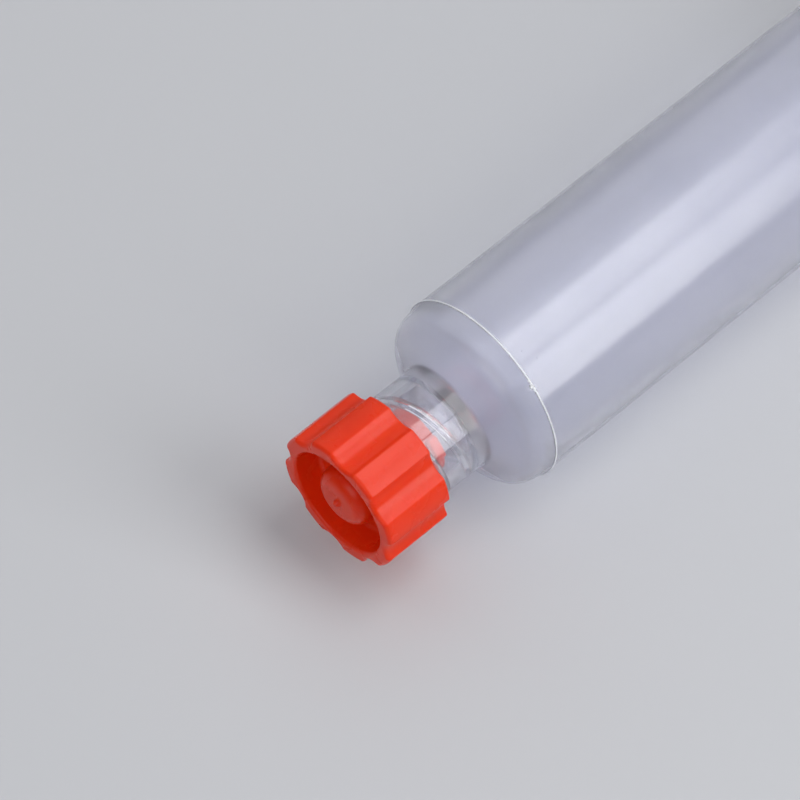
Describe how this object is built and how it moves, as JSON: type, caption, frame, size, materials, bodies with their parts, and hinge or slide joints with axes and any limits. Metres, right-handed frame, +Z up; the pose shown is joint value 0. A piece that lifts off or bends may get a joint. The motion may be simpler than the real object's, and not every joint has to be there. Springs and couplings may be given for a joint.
{
  "type": "dispensing syringe barrel",
  "caption": "Translucent dispensing barrel with a finger flange, wiper piston and a tapered nozzle in a locking collar, closed by a fluted orange tip cap.",
  "frame": {"origin": "centre of the bounding box at its bottom, where the barrel lies on its bead and the flat of its flange", "axes": "+X along the barrel from the tip to the mouth, +Y along the ears of the flange, +Z up"},
  "size_m": [0.0922, 0.03, 0.0182],
  "materials": {
    "natural_polypropylene": "milky translucent, glossy as moulded",
    "orange_plastic": "glossy as moulded",
    "white_polyethylene": "satin as moulded"
  },
  "bodies": {
    "barrel": {"barrel": "natural_polypropylene"},
    "tip_cap": {"tip_cap": "orange_plastic"},
    "piston": {"piston": "white_polyethylene"}
  },
  "joints": [
    {"name": "cap_pull", "type": "slide", "parent": "barrel", "child": "tip_cap", "axis": [-1, 0, 0], "range_m": [0, 0.02]},
    {"name": "piston_stroke", "type": "slide", "parent": "barrel", "child": "piston", "axis": [-1, 0, 0], "range_m": [-0.0095, 0.0555]}
  ]
}
